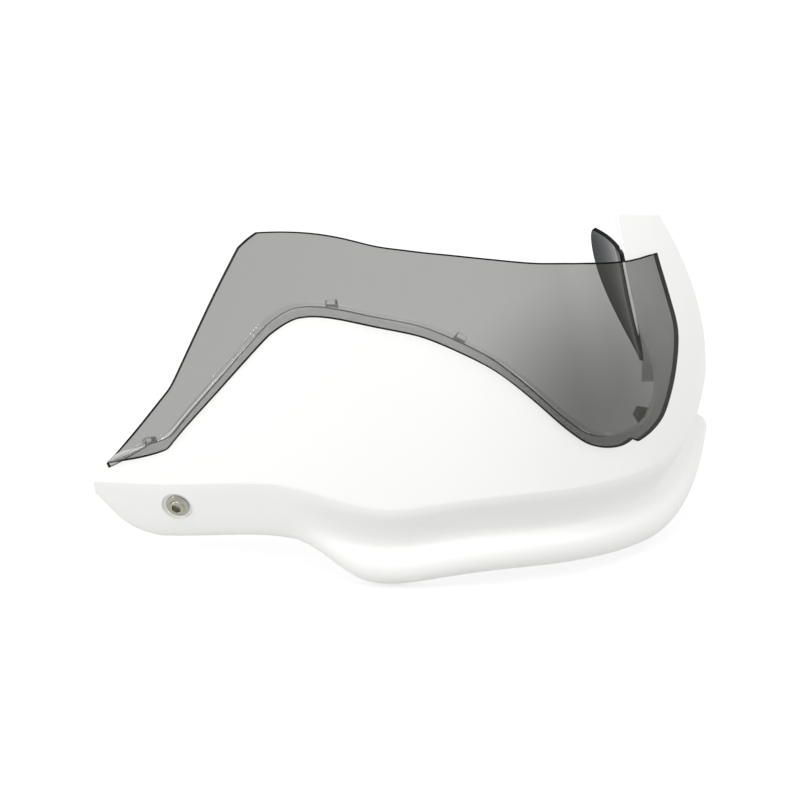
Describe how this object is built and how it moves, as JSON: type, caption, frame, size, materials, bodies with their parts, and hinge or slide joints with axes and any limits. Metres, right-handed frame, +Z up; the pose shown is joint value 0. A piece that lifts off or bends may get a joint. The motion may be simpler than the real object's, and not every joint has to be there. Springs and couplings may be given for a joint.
{
  "type": "motorcycle hand guard",
  "caption": "Wrap-round moulded hand guard with a smoke wind deflector on its rim and a bracket whose ring is held at the end of the handlebar.",
  "frame": {"origin": "on the handlebar's axis, at the inboard face of the bracket's ring", "axes": "+X along the handlebar, outboard; -Y towards the road ahead; +Z up"},
  "size_m": [0.3373, 0.1678, 0.1903],
  "materials": {
    "shell_plastic": "satin",
    "smoke_sheet": "polished",
    "coated_casting": "satin",
    "turned_alloy": "brushed",
    "bare_alloy": "satin",
    "zinc_steel": "satin",
    "spring_steel": "satin"
  },
  "bodies": {
    "root": {"shell": "shell_plastic", "deflector": "smoke_sheet", "bracket": "coated_casting", "bar_end_disc": "turned_alloy", "spacer_ring": "bare_alloy", "bush": "bare_alloy", "lever_screw": "zinc_steel", "clip_nut_clip": "spring_steel", "clip_nut_barrel": "spring_steel", "deflector_screw_foot": "zinc_steel", "deflector_screw_corner": "zinc_steel", "deflector_screw_middle": "zinc_steel", "deflector_screw_fin": "zinc_steel"}
  },
  "joints": []
}
